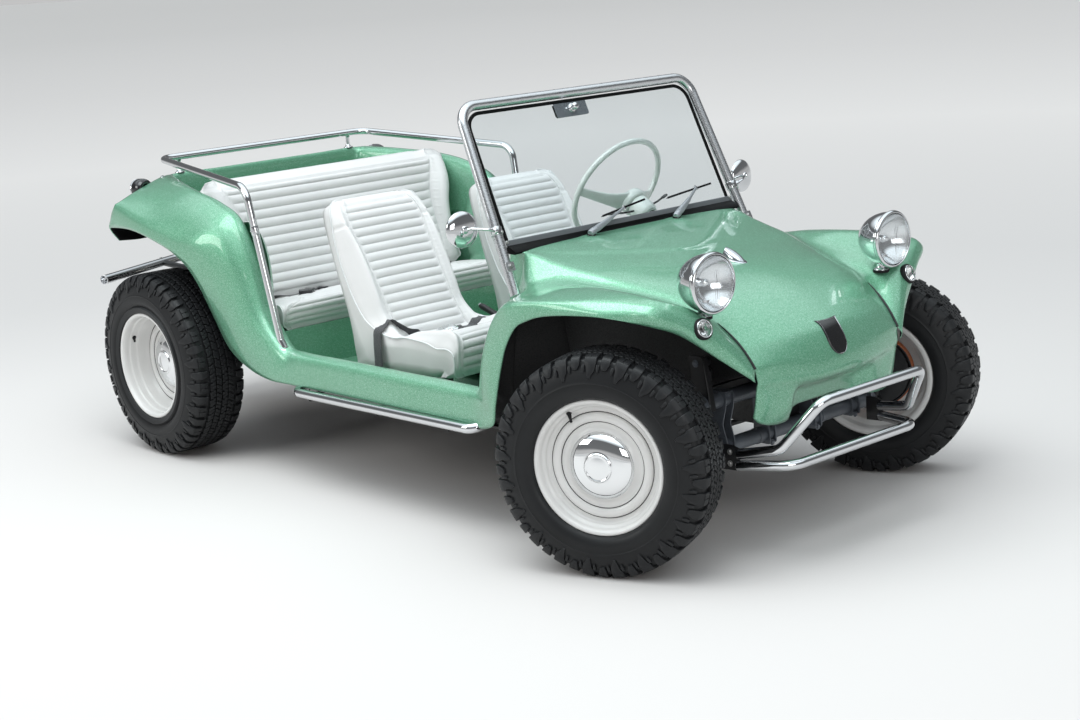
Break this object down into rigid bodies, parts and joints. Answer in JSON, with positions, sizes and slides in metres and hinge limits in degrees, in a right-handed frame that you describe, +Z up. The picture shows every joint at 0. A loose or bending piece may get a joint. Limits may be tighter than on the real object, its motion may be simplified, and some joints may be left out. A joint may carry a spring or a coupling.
{
  "type": "dune buggy",
  "caption": "Open beach buggy: moulded glassfibre body on a rear-engined floor pan, with a tube bumper, windshield, seats, rear rail, steered front wheels and rolling wheels.",
  "frame": {"origin": "on the ground under the middle of the vehicle's box", "axes": "+X forward along the car, +Y to the car's left, +Z up"},
  "size_m": [3.5799, 1.7459, 1.3709],
  "materials": {
    "body_green": "metal-flake gelcoat over glassfibre laminate, clear coated",
    "chassis_black": "satin black paint on steel",
    "beam_grey": "grey satin paint on steel tube",
    "engine_cast": "cast light alloy, satin",
    "chrome": "polished chrome",
    "aluminium": "brushed and polished",
    "screen_glass": "clear, lightly tinted",
    "wiper_grey": "silver-grey paint",
    "lamp_black": "red lens in a dark housing",
    "wheel_white": "gloss white paint on steel",
    "tyre_rubber": "black rubber, all-terrain tread",
    "drum_iron": "dark cast iron",
    "vinyl_white": "white pleated vinyl with piping",
    "ivory_plastic": "pale ivory moulded rim"
  },
  "bodies": {
    "chassis": {"body_tub": "body_green", "dashboard": "body_green", "engine": "engine_cast", "exhaust": "chrome", "floor_levers": "chassis_black", "floor_pan": "chassis_black", "footwell_panels": "body_green", "frame_head": "chassis_black", "front_arms": "chassis_black", "front_axle_beam": "beam_grey", "front_bumper": "chrome", "front_fenders": "body_green", "front_hood": "body_green", "front_seat_left": "vinyl_white", "front_seat_right": "vinyl_white", "gearbox": "engine_cast", "headlights": "chrome", "hood_cap": "chrome", "mirrors": "chrome", "parking_lamps": "chrome", "pedals": "chassis_black", "rear_axles": "chassis_black", "rear_bumper": "chrome", "rear_quarters": "body_green", "rear_rail": "chrome", "rear_seat_back": "vinyl_white", "rear_seat_cushion": "vinyl_white", "rear_torsion_housing": "chassis_black", "rear_well": "body_green", "side_bars": "chrome", "steering_column": "chassis_black", "tail_lamps": "lamp_black", "tail_panel": "body_green", "windshield_frame": "aluminium", "windshield_glass": "screen_glass", "wipers": "wiper_grey"},
    "wheel_front_right": {"front_tyre_right": "tyre_rubber", "front_rim_right": "wheel_white", "front_hubcap_right": "chrome", "front_drum_right": "drum_iron"},
    "wheel_front_left": {"front_tyre_left": "tyre_rubber", "front_rim_left": "wheel_white", "front_hubcap_left": "chrome", "front_drum_left": "drum_iron"},
    "wheel_rear_right": {"rear_tyre_right": "tyre_rubber", "rear_rim_right": "wheel_white", "rear_hubcap_right": "chrome", "rear_drum_right": "drum_iron"},
    "wheel_rear_left": {"rear_tyre_left": "tyre_rubber", "rear_rim_left": "wheel_white", "rear_hubcap_left": "chrome", "rear_drum_left": "drum_iron"},
    "knuckle_right": {"front_knuckle_right": "chassis_black"},
    "knuckle_left": {"front_knuckle_left": "chassis_black"},
    "steering_wheel": {"steering_wheel": "ivory_plastic"},
    "track_rod": {"track_rod": "chassis_black"}
  },
  "joints": [
    {"name": "steer_right", "type": "hinge", "parent": "chassis", "child": "knuckle_right", "pos_m": [1.292, -0.6287, 0.34], "axis": [0, 0, 1], "range_deg": [-49.5, 6]},
    {"name": "steer_left", "type": "hinge", "parent": "chassis", "child": "knuckle_left", "pos_m": [1.292, 0.6287, 0.34], "axis": [0, 0, 1], "range_deg": [-53.7, 6.5]},
    {"name": "steering_turn", "type": "hinge", "parent": "chassis", "child": "steering_wheel", "pos_m": [0.415, 0.3, 0.977], "axis": [-0.8746, 0, 0.4848], "range_deg": [-693, 84]},
    {"name": "spin_front_right", "type": "hinge", "parent": "knuckle_right", "child": "wheel_front_right", "pos_m": [1.30558, -0.6615, 0.34], "axis": [-0.3827, 0.9239, 0], "continuous": true},
    {"name": "spin_front_left", "type": "hinge", "parent": "knuckle_left", "child": "wheel_front_left", "pos_m": [1.27734, 0.66103, 0.34], "axis": [-0.4131, 0.9107, 0], "continuous": true},
    {"name": "spin_rear_right", "type": "hinge", "parent": "chassis", "child": "wheel_rear_right", "pos_m": [-1.108, -0.6925, 0.356], "axis": [0, 1, 0], "continuous": true},
    {"name": "spin_rear_left", "type": "hinge", "parent": "chassis", "child": "wheel_rear_left", "pos_m": [-1.108, 0.6925, 0.356], "axis": [0, 1, 0], "continuous": true},
    {"name": "track_rod_pivot", "type": "hinge", "parent": "knuckle_right", "child": "track_rod", "pos_m": [1.16774, -0.64229, 0.286], "axis": [0, 0, 1], "range_deg": [-6.4, 52.5]}
  ],
  "couplings": [
    {"joint": "steer_left", "follows": "steer_right", "ratio": 1.0844},
    {"joint": "steering_turn", "follows": "steer_right", "ratio": 14},
    {"joint": "track_rod_pivot", "follows": "steer_right", "ratio": -1.06}
  ]
}
